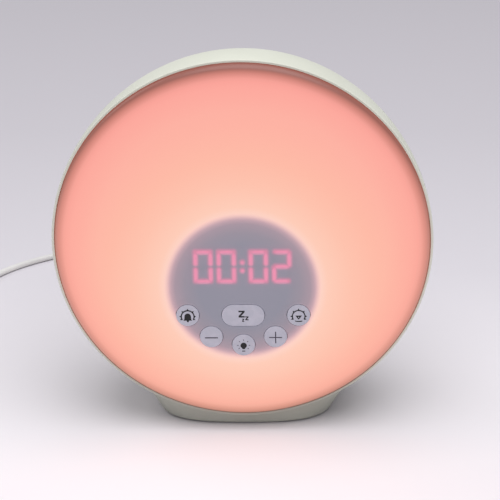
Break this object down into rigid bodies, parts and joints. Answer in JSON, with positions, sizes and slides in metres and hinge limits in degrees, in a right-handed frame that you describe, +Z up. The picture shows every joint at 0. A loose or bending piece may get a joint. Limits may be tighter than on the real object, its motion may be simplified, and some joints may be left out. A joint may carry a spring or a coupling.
{
  "type": "sunrise alarm clock",
  "caption": "Round bedside sunrise alarm clock: domed housing on an oval foot, glowing face with a digital display and push keys, and a thin power cord.",
  "frame": {"origin": "on the floor, under the middle of the clock's width and depth", "axes": "+Z up, -Y the way the lit face looks, +X to the right as one faces it"},
  "size_m": [0.2837, 0.208, 0.1798],
  "materials": {
    "housing_plastic": "fine matte moulded plastic",
    "diffuser_plastic": "translucent opal plastic, lit from behind",
    "bezel_plastic": "grey tinted plastic",
    "key_plastic": "satin pale grey plastic",
    "lit_plastic": "lit display bars",
    "dark_plastic": "dark moulded plastic",
    "unlit_plastic": "unlit display bars",
    "white_plastic": "white reflecting plastic",
    "board": "coated circuit board",
    "led_white": "LED packages",
    "metal": "zinc-plated steel",
    "contact_metal": "plated contact metal",
    "cone_paper": "paper cone",
    "rubber": "soft rubber",
    "cord_plastic": "soft white cord jacket",
    "tie": "soft tie band"
  },
  "bodies": {
    "clock": {"front_housing": "housing_plastic", "rear_cover": "housing_plastic", "base_plate": "housing_plastic", "rubber_feet": "rubber", "diffuser": "diffuser_plastic", "reflector": "white_plastic", "led_board": "board", "leds": "led_white", "control_shroud": "white_plastic", "shroud_screws": "metal", "control_board": "board", "display_bezel": "bezel_plastic", "digit_module": "dark_plastic", "lit_segments": "lit_plastic", "unlit_segments": "unlit_plastic", "key_switches": "dark_plastic", "housing_screws": "metal", "main_board": "board", "board_screws": "metal", "main_chips": "dark_plastic", "display_ribbon": "white_plastic", "led_lead": "dark_plastic", "speaker_gasket": "rubber", "speaker_frame": "metal", "speaker_magnet": "metal", "speaker_cone": "cone_paper", "speaker_screws": "metal", "rear_key_board": "board", "rear_key_board_screws": "metal", "rear_key_switches": "dark_plastic", "dc_jack": "dark_plastic", "jack_pins": "contact_metal", "base_screws": "metal", "coin_cell": "metal", "cell_contact": "contact_metal", "dc_plug_body": "cord_plastic", "dc_plug_barrel": "metal", "power_cord": "cord_plastic", "cord_coil": "cord_plastic", "cord_tail": "cord_plastic", "cord_tie": "tie", "usb_plug_body": "cord_plastic", "usb_plug_shell": "metal", "usb_plug_tongue": "dark_plastic"},
    "alarm_key": {"alarm_key": "key_plastic"},
    "snooze_key": {"snooze_key": "key_plastic"},
    "sunset_key": {"sunset_key": "key_plastic"},
    "minus_key": {"minus_key": "key_plastic"},
    "plus_key": {"plus_key": "key_plastic"},
    "lamp_key": {"lamp_key": "key_plastic"},
    "clock_set_key": {"clock_set_key": "key_plastic"},
    "alarm_set_key": {"alarm_set_key": "key_plastic"},
    "sound_key": {"sound_key": "key_plastic"},
    "volume_key": {"volume_key": "key_plastic"},
    "battery_cap": {"battery_cap": "housing_plastic"}
  },
  "joints": [
    {"name": "alarm_key_press", "type": "slide", "parent": "clock", "child": "alarm_key", "axis": [0, 0.9962, -0.0872], "range_m": [0, 0.00045], "stiffness_N_per_m": 1500},
    {"name": "snooze_key_press", "type": "slide", "parent": "clock", "child": "snooze_key", "axis": [0, 0.9962, -0.0872], "range_m": [0, 0.00045], "stiffness_N_per_m": 1500},
    {"name": "sunset_key_press", "type": "slide", "parent": "clock", "child": "sunset_key", "axis": [0, 0.9962, -0.0872], "range_m": [0, 0.00045], "stiffness_N_per_m": 1500},
    {"name": "minus_key_press", "type": "slide", "parent": "clock", "child": "minus_key", "axis": [0, 0.9962, -0.0872], "range_m": [0, 0.00045], "stiffness_N_per_m": 1500},
    {"name": "plus_key_press", "type": "slide", "parent": "clock", "child": "plus_key", "axis": [0, 0.9962, -0.0872], "range_m": [0, 0.00045], "stiffness_N_per_m": 1500},
    {"name": "lamp_key_press", "type": "slide", "parent": "clock", "child": "lamp_key", "axis": [0, 0.9962, -0.0872], "range_m": [0, 0.00045], "stiffness_N_per_m": 1500},
    {"name": "clock_set_key_press", "type": "slide", "parent": "clock", "child": "clock_set_key", "axis": [0, -0.9962, 0.0872], "range_m": [0, 0.0008], "stiffness_N_per_m": 1500},
    {"name": "alarm_set_key_press", "type": "slide", "parent": "clock", "child": "alarm_set_key", "axis": [0, -0.9962, 0.0872], "range_m": [0, 0.0008], "stiffness_N_per_m": 1500},
    {"name": "sound_key_press", "type": "slide", "parent": "clock", "child": "sound_key", "axis": [0, -0.9962, 0.0872], "range_m": [0, 0.0008], "stiffness_N_per_m": 1500},
    {"name": "volume_key_press", "type": "slide", "parent": "clock", "child": "volume_key", "axis": [0, -0.9962, 0.0872], "range_m": [0, 0.0008], "stiffness_N_per_m": 1500},
    {"name": "battery_cap_turn", "type": "hinge", "parent": "clock", "child": "battery_cap", "pos_m": [0, -0.00578, 0.001], "axis": [0, 0, 1], "range_deg": [0, 60]}
  ]
}
